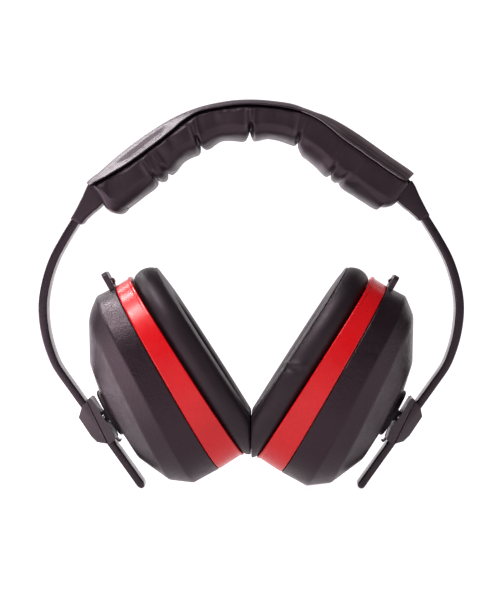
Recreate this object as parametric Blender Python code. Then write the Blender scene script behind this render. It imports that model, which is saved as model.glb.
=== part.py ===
"""Padded-headband hearing protection earmuffs.

Frame: metres, +Z up, origin at the bottom centre of the box round the object.
X runs from ear to ear, Y from front (-Y) to back (+Y).  The left-hand side
(-X) is modelled; the right-hand side is the same set of pieces turned half a
turn about Z, since every piece is symmetric front to back.

Bodies: headband (root), then on each side slider -> pivot -> cup.
"""
import math

import bmesh
import bpy
import numpy as np
from mathutils import Matrix, Vector

MM = 0.001

# ------------------------------------------------------------------ dimensions
GAP = 0.3                       # clearance between neighbouring pieces

# headband strip: one-piece moulded band, outer side profile of the left half
BAND_OUTER = [                  # (x, z) design points, crown to arm
    (0.0, 185.9), (-18.0, 184.0), (-33.0, 178.9), (-48.0, 170.6),
    (-60.0, 161.9), (-70.5, 153.0), (-77.2, 146.4), (-81.2, 140.4),
    (-85.0, 133.4), (-91.2, 121.6), (-96.4, 111.4), (-100.2, 100.0),
    (-102.1, 88.0), (-101.2, 77.0), (-99.3, 68.2)]
ARM_ORIGIN = (-85.7, 44.6)      # a point on the arm's outer face
ARM_ANGLE = 35.6                # degrees from vertical, tips towards the centre
ARM_STRAIGHT_TOP = -18.0        # straight part starts here, along the arm
ARM_TIP = 55.6                  # and ends here
ARM_THICK = 3.65
BAND_SIDE_THICK = 4.1
BAND_CROWN_THICK = 2.4
BAND_WIDTH = 16.0

# padded sleeve on the crown
SLEEVE_HALF = 20.0              # half width, front to back
SLEEVE_SKIN = 1.0
PAD_END_X = -76.6               # the padding stops where the band passes here
PAD_DEPTH = 16.2
PAD_SKIN = 1.2
TONGUE_HALF = 11.0
TONGUE_END_Z = 131.5

# ear cup: planes are given in the cushion frame (s up the cup, t outward)
CUP_TILT = 32.7                 # cushion plane from vertical
CUP_CENTRE = (-38.016, 53.952)  # reference point of the cushion frame (x, z)
SHELL_TILT = 29.75              # shell base plane from vertical
SHELL_CENTRE = (-40.35, 53.22)
CUP_SEGS = 32
SHELL_WALL = 2.4
# (top s, top t), (bottom s, bottom t), half width, squareness
SHELL_LOOPS = [
    ((50.5, 0.0), (-50.5, 0.0), 39.6, 2.6),
    ((50.9, 9.9), (-50.2, 13.7), 39.8, 2.6),
    ((44.9, 17.6), (-43.5, 23.0), 33.4, 2.7),
    ((25.1, 28.6), (-27.5, 30.8), 18.6, 2.6)]
SHELL_TOP_T = 31.6
SEAT_RADIUS = 12.9
SEAT_S = -1.05
HUB_HOLE_R = 5.0

RING_INNER_T = -8.8             # trim ring's cushion-side face
CUSHION_S = -1.35               # cushion centre along the cup
CUSHION_FACE_T = -22.4

DISC_R = 12.2
DISC_TOP_T = 33.6
PIN_T = 35.9                    # tilt pin above the shell base plane
PIN_R = 1.0
PIN_HOLE_R = 1.25
EAR_R = 2.0

BLOCK_HALF = 11.0               # slider block half width
BLOCK_TOP, BLOCK_END = 5.4, 28.9
CHANNEL_HALF = BAND_WIDTH / 2 + GAP

# ------------------------------------------------------------------ collections
for ob in list(bpy.data.objects):
    bpy.data.objects.remove(ob, do_unlink=True)
parts = bpy.data.collections.new("earmuffs")
bpy.context.scene.collection.children.link(parts)
helpers = bpy.data.collections.new("cutters")
bpy.context.scene.collection.children.link(helpers)


def material(name, colour, roughness, metallic=0.0):
    mat = bpy.data.materials.new(name)
    mat.use_nodes = True
    shader = mat.node_tree.nodes["Principled BSDF"]
    shader.inputs["Base Color"].default_value = (*colour, 1.0)
    shader.inputs["Roughness"].default_value = roughness
    shader.inputs["Metallic"].default_value = metallic
    return mat


MAT = {
    "band": material("band_plastic", (0.030, 0.024, 0.029), 0.45),
    "vinyl": material("pad_vinyl", (0.040, 0.032, 0.037), 0.50),
    "foam": material("pad_foam", (0.12, 0.12, 0.12), 0.95),
    "shell": material("shell_plastic", (0.045, 0.034, 0.040), 0.50),
    "red": material("trim_red", (0.74, 0.012, 0.020), 0.38),
    "plate": material("plate_plastic", (0.020, 0.018, 0.020), 0.55),
    "seal": material("cushion_vinyl", (0.028, 0.024, 0.028), 0.42),
    "liner": material("liner_foam", (0.050, 0.050, 0.055), 0.95),
    "slider": material("slider_plastic", (0.036, 0.030, 0.034), 0.42),
    "steel": material("steel", (0.62, 0.62, 0.64), 0.30, 1.0),
}

# ------------------------------------------------------------------ frames
ca, sa = math.cos(math.radians(CUP_TILT)), math.sin(math.radians(CUP_TILT))
cb, sb = math.cos(math.radians(SHELL_TILT)), math.sin(math.radians(SHELL_TILT))
cc, sc = math.cos(math.radians(ARM_ANGLE)), math.sin(math.radians(ARM_ANGLE))


def cup_pt(s, t, y):
    """Cushion frame to world, mm."""
    return (CUP_CENTRE[0] - sa * s - ca * t, y, CUP_CENTRE[1] + ca * s - sa * t)


def shell_pt(s, t, y):
    """Shell frame to world, mm."""
    return (SHELL_CENTRE[0] - sb * s - cb * t, y, SHELL_CENTRE[1] + cb * s - sb * t)


def arm_pt(u, n, y):
    """Arm frame to world, mm: u down the arm, n inward from its outer face."""
    return (ARM_ORIGIN[0] + sc * u + cc * n, y, ARM_ORIGIN[1] - cc * u + sc * n)


def oval(s_top, s_bot, half, squareness, segs=CUP_SEGS):
    """Points (s, y, fraction from bottom to top) round a squared oval."""
    mid, a = (s_top + s_bot) / 2, (s_top - s_bot) / 2
    out = []
    for i in range(segs):
        th = 2 * math.pi * i / segs
        c, s = math.cos(th), math.sin(th)
        x = math.copysign(abs(c) ** (2 / squareness), c)
        y = math.copysign(abs(s) ** (2 / squareness), s)
        out.append((mid + a * x, half * y, (x + 1) / 2))
    return out


def shell_loop(top, bottom, half, squareness):
    return [shell_pt(s, bottom[1] + (top[1] - bottom[1]) * f, y)
            for s, y, f in oval(top[0], bottom[0], half, squareness)]


def shell_flat(a, half, t, squareness=2.6, centre=0.0):
    return [shell_pt(s, t, y) for s, y, _ in oval(centre + a, centre - a, half, squareness)]


def cup_flat(a, half, t, squareness=2.6, centre=CUSHION_S):
    return [cup_pt(s, t, y) for s, y, _ in oval(centre + a, centre - a, half, squareness)]


# ------------------------------------------------------------------ mesh helpers
def to_mesh(name, bm):
    bmesh.ops.recalc_face_normals(bm, faces=bm.faces)
    if bm.calc_volume(signed=True) < 0:
        bmesh.ops.reverse_faces(bm, faces=bm.faces)
    me = bpy.data.meshes.new(name)
    bm.to_mesh(me)
    bm.free()
    me.transform(Matrix.Scale(MM, 4))
    return me


def loft(name, loops, ring=False):
    """Skin a run of equal-length loops; capped at both ends, or closed into a ring."""
    bm = bmesh.new()
    rows = [[bm.verts.new(p) for p in loop] for loop in loops]
    n = len(rows[0])
    pairs = list(zip(rows, rows[1:]))
    if ring:
        pairs.append((rows[-1], rows[0]))
    for a, b in pairs:
        for i in range(n):
            j = (i + 1) % n
            bm.faces.new((a[i], a[j], b[j], b[i]))
    if not ring:
        bm.faces.new(rows[0])
        bm.faces.new(list(reversed(rows[-1])))
    return to_mesh(name, bm)


def prism(name, outline, half, place, y_mid=0.0):
    """An outline in a side plane, extruded front to back."""
    return loft(name, [[place(a, b, y_mid - half) for a, b in outline],
                       [place(a, b, y_mid + half) for a, b in outline]])


def rod(name, centre, direction, radius, length, segs=24, radius2=None):
    """A cylinder or cone centred on a point, mm."""
    bm = bmesh.new()
    bmesh.ops.create_cone(bm, cap_ends=True, segments=segs, radius1=radius,
                          radius2=radius if radius2 is None else radius2, depth=length)
    turn = Vector((0, 0, 1)).rotation_difference(Vector(direction)).to_matrix().to_4x4()
    bmesh.ops.transform(bm, matrix=Matrix.Translation(Vector(centre)) @ turn, verts=bm.verts)
    return to_mesh(name, bm)


def block(name, lo, hi, place):
    """A box between two corners in one of the side frames."""
    (a0, b0, y0), (a1, b1, y1) = lo, hi
    return prism(name, [(a0, b0), (a1, b0), (a1, b1), (a0, b1)], (y1 - y0) / 2,
                 place, (y0 + y1) / 2)


def combine(name, base, steps):
    """Boolean a mesh with others in turn: steps is [(operation, mesh), ...]."""
    ob = bpy.data.objects.new(name + "_work", base)
    helpers.objects.link(ob)
    tools = []
    for i, (operation, me) in enumerate(steps):
        cutter = bpy.data.objects.new("%s_cut_%d" % (name, i), me)
        cutter.hide_render = True
        cutter.display_type = "WIRE"
        helpers.objects.link(cutter)
        tools.append(cutter)
        mod = ob.modifiers.new("step_%d" % i, "BOOLEAN")
        mod.operation = operation
        mod.solver = "EXACT"
        mod.object = cutter
    bpy.context.view_layer.update()
    done = bpy.data.meshes.new_from_object(
        ob.evaluated_get(bpy.context.evaluated_depsgraph_get()))
    bm = bmesh.new()
    bm.from_mesh(done)
    bmesh.ops.remove_doubles(bm, verts=bm.verts, dist=0.00002)
    bmesh.ops.dissolve_degenerate(bm, edges=bm.edges, dist=0.00001)
    bm.to_mesh(done)
    bm.free()
    for o in tools + [ob]:
        bpy.data.objects.remove(o, do_unlink=True)
    done.name = name
    return done


# ------------------------------------------------------------------ bodies
HALF_TURN = Matrix.Rotation(math.pi, 4, "Z")


def empty(name, at, axis, parent=None):
    ob = bpy.data.objects.new(name, None)
    ob.empty_display_size = 0.01
    helpers.objects.link(ob)
    turn = Vector((0, 0, 1)).rotation_difference(Vector(axis)).to_matrix().to_4x4()
    world = Matrix.Translation(Vector(at) * MM) @ turn
    ob.parent = parent
    ob.matrix_world = world
    return ob


SLIDE_AXIS = (sc, 0.0, -cc)
SWIVEL_AXIS = (-cb, 0.0, -sb)
PIN_AT = shell_pt(SEAT_S, PIN_T, 0.0)
BLOCK_AT = arm_pt((BLOCK_TOP + BLOCK_END) / 2, ARM_THICK / 2, 0.0)
DISC_AT = shell_pt(SEAT_S, DISC_TOP_T, 0.0)


def turned(v):
    return (-v[0], -v[1], v[2])


axes = {}
for side in "LR":
    f = (lambda v: v) if side == "L" else turned
    slide = empty("slide_axis_" + side, f(BLOCK_AT), f(SLIDE_AXIS))
    tilt = empty("tilt_axis_" + side, f(PIN_AT), f((0.0, 1.0, 0.0)))
    swivel = empty("swivel_axis_" + side, f(DISC_AT), f(SWIVEL_AXIS))
    for child, parent in ((tilt, slide), (swivel, tilt)):
        bpy.context.view_layer.update()
        world = child.matrix_world.copy()
        child.parent = parent
        child.matrix_world = world
    bpy.context.view_layer.update()
    axes[side] = {"slider": slide, "pivot": tilt, "cup": swivel}


def smooth(me, angle=35.0):
    me.shade_smooth()
    me.set_sharp_from_angle(angle=math.radians(angle))


def add_root(name, me, mat, angle=35.0):
    smooth(me, angle)
    me.materials.clear()
    me.materials.append(MAT[mat])
    ob = bpy.data.objects.new(name, me)
    parts.objects.link(ob)
    return ob


def add_pair(name, me, mat, body, angle=35.0):
    """Place a left-side mesh, and the same mesh turned onto the right side."""
    smooth(me, angle)
    me.materials.clear()
    me.materials.append(MAT[mat])
    me.transform(axes["L"][body].matrix_world.inverted())
    for side in "LR":
        ob = bpy.data.objects.new("%s_%s" % (name, side), me)
        parts.objects.link(ob)
        ob.parent = axes[side][body]
        left = axes["L"][body].matrix_world
        world = left if side == "L" else HALF_TURN @ left
        ob.matrix_world = world.copy()


# ------------------------------------------------------------------ headband
def band_curve():
    """Left half of the outer face: dense (x, z) points from crown to arm tip."""
    pts = [Vector(p) for p in BAND_OUTER]
    top = Vector((ARM_ORIGIN[0] + sc * ARM_STRAIGHT_TOP, ARM_ORIGIN[1] - cc * ARM_STRAIGHT_TOP))
    pts.append(top)
    tang = []
    for i, p in enumerate(pts):
        if i == 0:
            tang.append(Vector((-1.0, 0.0)))
        elif i == len(pts) - 1:
            tang.append(Vector((sc, -cc)))
        else:
            before, after = p - pts[i - 1], pts[i + 1] - p
            mean = before.normalized() * after.length + after.normalized() * before.length
            tang.append(mean.normalized())
    dense = []
    for i in range(len(pts) - 1):
        span = (pts[i + 1] - pts[i]).length
        m0, m1 = tang[i] * span, tang[i + 1] * span
        for k in range(12):
            h = k / 12
            dense.append(pts[i] * (2 * h**3 - 3 * h**2 + 1) + m0 * (h**3 - 2 * h**2 + h)
                         + pts[i + 1] * (3 * h**2 - 2 * h**3) + m1 * (h**3 - h**2))
    dense.append(top)
    return dense


DENSE = band_curve()
LENGTHS = [0.0]
for a, b in zip(DENSE, DENSE[1:]):
    LENGTHS.append(LENGTHS[-1] + (b - a).length)
CURVE_LENGTH = LENGTHS[-1]


def band_at(sigma):
    """Outer-face point and inward normal at a signed length from the crown."""
    side = -1.0 if sigma < 0 else 1.0          # negative: left
    s = abs(sigma)
    if s >= CURVE_LENGTH:
        p = DENSE[-1] + Vector((sc, -cc)) * (s - CURVE_LENGTH)
        t = Vector((sc, -cc))
    else:
        i = max(1, min(int(np.searchsorted(LENGTHS, s)), len(LENGTHS) - 1))
        f = (s - LENGTHS[i - 1]) / (LENGTHS[i] - LENGTHS[i - 1])
        p = DENSE[i - 1].lerp(DENSE[i], f)
        lo, hi = DENSE[max(i - 2, 0)], DENSE[min(i + 1, len(DENSE) - 1)]
        t = (hi - lo).normalized() if s > 0.5 else Vector((-1.0, 0.0))
    # going from the crown down the left side, the inside is on the left hand
    return Vector((side * abs(p.x), p.y)), Vector((side * t.y, t.x))


def ease(x):
    x = max(0.0, min(1.0, x))
    return x * x * (3 - 2 * x)


def band_thick(sigma):
    s = abs(sigma)
    grow = BAND_CROWN_THICK + (BAND_SIDE_THICK - BAND_CROWN_THICK) * ease((s - 25.0) / 35.0)
    return grow + (ARM_THICK - BAND_SIDE_THICK) * ease((s - CURVE_LENGTH + 35.0) / 30.0)


def sigma_where(test):
    for s, p in zip(LENGTHS, DENSE):
        if test(p):
            return s
    return CURVE_LENGTH


PAD_END = sigma_where(lambda p: p.x < PAD_END_X)
TONGUE_END = sigma_where(lambda p: p.y < TONGUE_END_Z)


def section(sigma, pts):
    """Points (depth below the outer face, y) to world at a station of the band."""
    p, n = band_at(sigma)
    return [(p.x + n.x * d, y, p.y + n.y * d) for d, y in pts]


def even(lo, hi, step):
    count = max(1, round((hi - lo) / step))
    return [lo + (hi - lo) * i / count for i in range(count + 1)]


def strip_section(sigma, scale=1.0):
    th, w, c = band_thick(sigma), BAND_WIDTH / 2, 0.7
    mid, h = th / 2, th / 2 * scale
    c = min(c, h * 0.6)
    w = w - (1 - scale) * 1.4
    return section(sigma, [(mid - h, -w + c), (mid - h, w - c), (mid - h + c, w), (mid + h - c, w),
                           (mid + h, w - c), (mid + h, -w + c), (mid + h - c, -w), (mid - h + c, -w)])


arm_len = ARM_TIP - ARM_STRAIGHT_TOP
tip = CURVE_LENGTH + arm_len
half_stations = even(0.0, CURVE_LENGTH, 8.2)[1:]
loops = [strip_section(-tip, 0.42), strip_section(-(tip - 0.55), 0.80), strip_section(-(tip - 1.6))]
loops += [strip_section(-s) for s in reversed(half_stations)]
loops += [strip_section(0.0)]
loops += [strip_section(s) for s in half_stations]
loops += [strip_section(tip - 1.6), strip_section(tip - 0.55, 0.80), strip_section(tip, 0.42)]
strip = loft("headband_strip", loops)
add_root("headband_strip", strip, "band", 40.0)

# vinyl top flap: a shallow channel laid over the strip, open below
pad_stations = even(-PAD_END, PAD_END, 8.0)


def flap_section(sigma):
    th, w, k = band_thick(sigma), SLEEVE_HALF, SLEEVE_SKIN
    top, low = -GAP - k, th
    return section(sigma, [(top, -w + 1.0), (top, w - 1.0), (top + 1.0, w), (low, w),
                           (low, w - k), (-GAP, w - k), (-GAP, -w + k), (low, -w + k),
                           (low, -w), (top + 1.0, -w)])


add_root("headband_sleeve_top",
         loft("headband_sleeve_top", [flap_section(s) for s in pad_stations]), "vinyl", 50.0)


# padded underside: an open-topped tray of vinyl with the foam in it
def pad_section(sigma, inset=0.0, top=None, end_round=0.0):
    th, w = band_thick(sigma) + GAP, SLEEVE_HALF - inset
    depth = PAD_DEPTH - inset - end_round
    lo, r = th + depth, 5.0 - inset * 0.6
    up = th if top is None else th + top
    return section(sigma, [(up, -w), (up, w), (lo - r, w), (lo - 0.3 * r, w - 0.3 * r), (lo, w - r),
                           (lo, -w + r), (lo - 0.3 * r, -w + 0.3 * r), (lo - r, -w)])


tray_stations = even(-PAD_END + 3.5, PAD_END - 3.5, 8.0)
outer = [pad_section(-PAD_END, 0.0, None, 4.5)] + [pad_section(s) for s in tray_stations] \
    + [pad_section(PAD_END, 0.0, None, 4.5)]
hollow_end = PAD_END - PAD_SKIN
inner = [pad_section(-hollow_end, PAD_SKIN, -1.5, 4.5)] \
    + [pad_section(s, PAD_SKIN, -1.5) for s in tray_stations] \
    + [pad_section(hollow_end, PAD_SKIN, -1.5, 4.5)]
add_root("headband_pad_cover",
         combine("headband_pad_cover", loft("pad_outer", outer),
                 [("DIFFERENCE", loft("pad_hollow", inner))]), "vinyl", 50.0)

foam_end = hollow_end - GAP
foam_in = PAD_SKIN + GAP
foam = [pad_section(-foam_end, foam_in, 0.0, 4.7)] \
    + [pad_section(s, foam_in, 0.0, 0.2) for s in tray_stations] \
    + [pad_section(foam_end, foam_in, 0.0, 4.7)]
add_root("headband_pad_foam", loft("headband_pad_foam", foam), "foam", 50.0)


# tapered sleeve ends that carry on down the arms past the padding
def tongue_section(sigma, depth):
    th, w, k = band_thick(sigma), TONGUE_HALF, 0.9
    c = BAND_WIDTH / 2 + GAP
    return (section(sigma, [(-GAP - k, -w + 1), (-GAP - k, w - 1), (-GAP, w), (depth - 1.0, w),
                            (depth, w - 1.6), (depth, -w + 1.6), (depth - 1.0, -w), (-GAP, -w)]),
            section(sigma, [(-GAP, -c), (-GAP, c), (-GAP + 0.4, c), (th + GAP - 0.4, c),
                            (th + GAP, c), (th + GAP, -c), (th + GAP - 0.4, -c), (-GAP + 0.4, -c)]))


for side, sign in (("L", -1.0), ("R", 1.0)):
    start, end = PAD_END + GAP, TONGUE_END
    outer, inner = [], []
    for k in range(5):
        f = k / 4
        o, i = tongue_section(sign * (start + (end - start) * f), 10.4 - 4.6 * f)
        outer.append(o)
        inner.append(i)
    add_root("headband_sleeve_end_" + side,
             loft("headband_sleeve_end_" + side, outer + list(reversed(inner)), ring=True),
             "vinyl", 50.0)

# ------------------------------------------------------------------ cup shell
outer = [shell_loop(*spec) for spec in SHELL_LOOPS]
top_loops = [shell_flat(SEAT_RADIUS, SEAT_RADIUS, SHELL_TOP_T, 2.0, SEAT_S),
             shell_flat(HUB_HOLE_R, HUB_HOLE_R, SHELL_TOP_T, 2.0, SEAT_S),
             shell_flat(HUB_HOLE_R, HUB_HOLE_R, SHELL_TOP_T - SHELL_WALL, 2.0, SEAT_S),
             shell_flat(SEAT_RADIUS - 0.5, SEAT_RADIUS - 0.5, SHELL_TOP_T - SHELL_WALL, 2.0, SEAT_S)]
WALL_IN = [(SHELL_WALL, 0.0), (SHELL_WALL, 1.1), (1.7, 2.1), (0.7, 2.3)]   # (in, down) per loop
inner = []
for (top, bottom, half, sq), (shrink, drop) in zip(SHELL_LOOPS, WALL_IN):
    inner.append(shell_loop((top[0] - shrink, top[1] - drop), (bottom[0] + shrink, bottom[1] - drop),
                            half - shrink, sq))
body = loft("cup_body", outer + top_loops + list(reversed(inner)), ring=True)
tab = prism("strap_tab", [(48.9, 0.05), (57.2, 0.05), (57.2, 2.4), (56.8, 2.8), (48.9, 2.8)], 10.0, shell_pt)
slot = block("strap_slot", (51.8, -2.0, -7.0), (54.9, 6.0, 7.0), shell_pt)
add_pair("cup_shell", combine("cup_shell", body, [("UNION", tab), ("DIFFERENCE", slot)]),
         "shell", "cup", 25.0)

# ------------------------------------------------------------------ trim ring
RING_OUT = 50.4
ring_loops = [
    shell_flat(50.5, 39.6, -GAP),
    cup_flat(50.3, 39.4, RING_INNER_T, 2.6, 0.55),
    cup_flat(41.0, 28.0, RING_INNER_T),
    shell_flat(45.9, 35.0, -GAP),
    shell_flat(45.9, 35.0, 3.4),
    shell_flat(47.7, 36.8, 3.4),
    shell_flat(47.7, 36.8, -GAP)]
add_pair("trim_ring", loft("trim_ring", ring_loops, ring=True), "red", "cup", 30.0)

# ------------------------------------------------------------------ cushion plate
plate = [(-9.1, 43.0), (-11.1, 43.0), (-11.1, 31.6), (-9.1, 31.6), (-9.1, 38.4),
         (-5.6, 38.4), (-5.6, 40.6), (-9.1, 40.6)]
# the flange is one flat ring, with a collar that snaps into the trim ring
plate_loops = [cup_flat(a, a - 13.0, t) for t, a in plate]
add_pair("cushion_plate", loft("cushion_plate", plate_loops, ring=True), "plate", "cup", 30.0)


# ------------------------------------------------------------------ ear cushion
def pressed(loop, limit):
    """The two cushions press flat on each other on the centre plane."""
    return [(min(x, -limit), y, z) for x, y, z in loop]


SKIN_OUT = [(-9.1, 43.4), (-9.1, 49.5), (-12.0, 51.0), (-16.5, 50.9), (-20.5, 48.0), (-22.4, 43.4),
            (-22.4, 34.9), (-20.6, 31.7), (-11.4, 30.5)]
SKIN_IN = [(-11.4, 31.7), (-20.1, 32.7), (-21.2, 35.4), (-21.2, 42.9), (-19.7, 46.9), (-16.3, 49.6),
           (-12.4, 49.8), (-10.3, 48.9), (-10.3, 43.4)]
skin = [pressed(cup_flat(a, a - 13.2, t), 0.15) for t, a in SKIN_OUT] \
    + [pressed(cup_flat(a, a - 13.2, t), 0.15 + 1.2) for t, a in SKIN_IN]
add_pair("ear_cushion_skin", loft("ear_cushion_skin", skin, ring=True), "seal", "cup", 60.0)

CORE = [(-11.4, 32.1), (-19.9, 33.1), (-20.9, 35.7), (-20.9, 42.7), (-19.4, 46.5), (-16.2, 48.9),
        (-12.6, 48.7), (-11.4, 47.2)]
core = [pressed(cup_flat(a, a - 13.2, t), 0.15 + 1.2 + GAP) for t, a in CORE]
add_pair("ear_cushion_foam", loft("ear_cushion_foam", core, ring=True), "foam", "cup", 60.0)

# ------------------------------------------------------------------ acoustic liner
liner = [shell_flat(45.3, 34.4, 0.3), shell_flat(45.3, 34.4, 8.5), shell_flat(39.0, 28.2, 15.0)]
add_pair("foam_liner", loft("foam_liner", liner), "liner", "cup", 40.0)

# ------------------------------------------------------------------ swivel disc
disc_profile = [(3.2, 25.2), (3.2, 28.9), (4.7, 28.9), (4.7, SHELL_TOP_T + GAP),
                (DISC_R, SHELL_TOP_T + GAP), (DISC_R, DISC_TOP_T - 0.6), (DISC_R - 0.6, DISC_TOP_T)]
disc = loft("disc", [shell_flat(r, r, t, 2.0, SEAT_S) for r, t in disc_profile])
lug_outline = [(SEAT_S + 2.9, DISC_TOP_T - 0.4), (SEAT_S + 2.9, DISC_TOP_T + 0.05)] \
    + [(SEAT_S + EAR_R * math.cos(a), PIN_T + EAR_R * math.sin(a))
       for a in [math.pi * k / 8 for k in range(9)]] \
    + [(SEAT_S - 2.9, DISC_TOP_T + 0.05), (SEAT_S - 2.9, DISC_TOP_T - 0.4)]
steps = []
for y in (-6.6, 6.6):
    steps.append(("UNION", prism("lug", lug_outline, 1.3, shell_pt, y)))
steps.append(("DIFFERENCE", rod("pin_hole", PIN_AT, (0, 1, 0), PIN_HOLE_R, 20.0, 16)))
add_pair("swivel_disc", combine("swivel_disc", disc, steps), "slider", "pivot", 30.0)
add_pair("tilt_pin", rod("tilt_pin", PIN_AT, (0, 1, 0), PIN_R, 15.6, 16), "steel", "pivot", 40.0)
washer = [shell_flat(r, r, t, 2.0, SEAT_S) for r, t in
          ((3.5, 28.6), (8.2, 28.6), (8.2, 27.4), (3.5, 27.4))]
add_pair("hub_retainer", loft("hub_retainer", washer, ring=True), "steel", "pivot", 30.0)

# ------------------------------------------------------------------ slider block
# side profiles in the arm frame (u down the arm, n inward from the arm's outer face)
COVER_SIDE = [(6.1, 4.5), (6.8, 0.9), (10.1, -2.95), (21.0, -3.1), (24.6, -2.5), (27.5, 0.1), (28.4, 0.6)]
BODY_SIDE = [(28.9, 0.9), (29.0, 4.4), (28.7, 5.2), (23.0, 6.5), (16.8, 6.2), (6.3, 6.85), (5.4, 6.2), (5.7, 4.8)]
channel = block("arm_channel", (-10.0, -GAP, -CHANNEL_HALF), (60.0, ARM_THICK + GAP, CHANNEL_HALF), arm_pt)
spring_seat = block("spring_seat", (11.4, -1.75, -5.3), (23.1, 0.5, 5.3), arm_pt)
cover = combine("slider_cover", prism("cover_side", COVER_SIDE, BLOCK_HALF, arm_pt),
                [("DIFFERENCE", channel), ("DIFFERENCE", spring_seat)])
add_pair("slider_cover", cover, "slider", "slider", 30.0)

channel = block("arm_channel", (-10.0, -GAP, -CHANNEL_HALF), (60.0, ARM_THICK + GAP, CHANNEL_HALF), arm_pt)
pin_u, pin_n = 16.77, 6.07
px, _, pz = PIN_AT
du, dn = px - ARM_ORIGIN[0], pz - ARM_ORIGIN[1]
pin_u, pin_n = sc * du - cc * dn, cc * du + sc * dn
pockets = [("DIFFERENCE", channel)]
for y in (-6.6, 6.6):
    pockets.append(("DIFFERENCE", block("lug_pocket", (pin_u - 3.5, 3.0, y - 1.65),
                                        (pin_u + 3.5, 12.0, y + 1.65), arm_pt)))
barrel = [(pin_u + 1.95 * math.cos(a), pin_n + 1.95 * math.sin(a))
          for a in [math.pi * k / 8 for k in range(9)]]
barrel += [(pin_u - 2.9, 4.6), (pin_u + 2.9, 4.6)]
pockets.append(("UNION", prism("barrel", barrel, 4.6, arm_pt)))
pockets.append(("DIFFERENCE", rod("pin_hole", PIN_AT, (0, 1, 0), PIN_HOLE_R, 18.0, 16)))
add_pair("slider_body", combine("slider_body", prism("body_side", BODY_SIDE, BLOCK_HALF, arm_pt), pockets),
         "slider", "slider", 30.0)

# leaf spring that grips the arm inside the cover, bowed along the arm
leaf = []
for k in range(9):
    f = k / 8
    leaf.append((11.9 + 10.7 * f, -1.42 + 0.75 * math.sin(math.pi * f)))
under = [(u, n + 0.35) for u, n in reversed(leaf)]
add_pair("slider_spring", prism("slider_spring", leaf + under, 5.0, arm_pt), "steel", "slider", 40.0)
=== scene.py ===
"""Looks of the hearing protection earmuffs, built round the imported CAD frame."""
import math
import random

import bmesh
import bpy
import numpy as np
from mathutils import Matrix, Vector, noise


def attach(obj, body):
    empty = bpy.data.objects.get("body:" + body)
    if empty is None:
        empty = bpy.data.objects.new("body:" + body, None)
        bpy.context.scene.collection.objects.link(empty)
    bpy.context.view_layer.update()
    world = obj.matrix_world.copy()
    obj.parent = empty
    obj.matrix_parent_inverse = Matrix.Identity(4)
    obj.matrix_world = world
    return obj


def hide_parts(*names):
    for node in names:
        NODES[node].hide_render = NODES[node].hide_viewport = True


MM = 0.001
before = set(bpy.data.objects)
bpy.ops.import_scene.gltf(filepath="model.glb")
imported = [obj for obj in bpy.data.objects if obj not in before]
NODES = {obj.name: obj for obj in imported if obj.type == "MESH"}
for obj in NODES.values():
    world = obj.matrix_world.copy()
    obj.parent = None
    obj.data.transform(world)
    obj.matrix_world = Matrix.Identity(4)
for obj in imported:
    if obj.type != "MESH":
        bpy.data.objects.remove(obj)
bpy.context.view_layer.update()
scene = bpy.context.scene

# ------------------------------------------------------------------ camera
cam_data = bpy.data.cameras.new("camera")
cam = bpy.data.objects.new("camera", cam_data)
scene.collection.objects.link(cam)
CAM_AT = Vector((0.0114, -1.150, 0.117))
CAM_TO = Vector((-0.0006, 0.0, 0.0905))
cam.location = CAM_AT
cam.rotation_euler = (CAM_TO - CAM_AT).to_track_quat("-Z", "Y").to_euler()
cam_data.sensor_width = 36.0
cam_data.lens = 36.0 * (CAM_TO - CAM_AT).length / 0.2893
cam_data.clip_start = 0.01
cam_data.clip_end = 20.0
scene.camera = cam

# ------------------------------------------------------------------ shared frames (same numbers as the design)
CUP_TILT, CUP_CENTRE = 32.7, (-38.016, 53.952)
SHELL_TILT, SHELL_CENTRE = 29.75, (-40.35, 53.22)
ARM_ORIGIN, ARM_ANGLE = (-85.7, 44.6), 35.6
CUSHION_S = -1.35
SEAT_S = -1.05
ca, sa = math.cos(math.radians(CUP_TILT)), math.sin(math.radians(CUP_TILT))
cb, sb = math.cos(math.radians(SHELL_TILT)), math.sin(math.radians(SHELL_TILT))
cc, sc = math.cos(math.radians(ARM_ANGLE)), math.sin(math.radians(ARM_ANGLE))


def cup_pt(s, t, y):
    return Vector((CUP_CENTRE[0] - sa * s - ca * t, y, CUP_CENTRE[1] + ca * s - sa * t))


def shell_pt(s, t, y):
    return Vector((SHELL_CENTRE[0] - sb * s - cb * t, y, SHELL_CENTRE[1] + cb * s - sb * t))


def arm_pt(u, n, y):
    return Vector((ARM_ORIGIN[0] + sc * u + cc * n, y, ARM_ORIGIN[1] - cc * u + sc * n))


def sided(p, side):
    return Vector((p[0] if side == "L" else -p[0], p[1], p[2]))


def ease(x, lo=0.0, hi=1.0):
    x = max(0.0, min(1.0, (x - lo) / (hi - lo)))
    return x * x * (3 - 2 * x)


def lerp_table(table, x):
    """Smooth interpolation in [(x, value), ...], sorted by x."""
    xs = [r[0] for r in table]
    if x <= xs[0]:
        return table[0][1]
    if x >= xs[-1]:
        return table[-1][1]
    i = max(1, int(np.searchsorted(xs, x)))
    x0, v0 = table[i - 1]
    x1, v1 = table[i]
    xm, vm = table[i - 2] if i > 1 else (x0 - (x1 - x0), v0)
    xn, vn = table[i + 1] if i + 1 < len(table) else (x1 + (x1 - x0), v1)
    m0 = (v1 - vm) / (x1 - xm) * (x1 - x0)
    m1 = (vn - v0) / (xn - x0) * (x1 - x0)
    h = (x - x0) / (x1 - x0)
    return (v0 * (2 * h**3 - 3 * h**2 + 1) + m0 * (h**3 - 2 * h**2 + h)
            + v1 * (3 * h**2 - 2 * h**3) + m1 * (h**3 - h**2))


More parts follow.
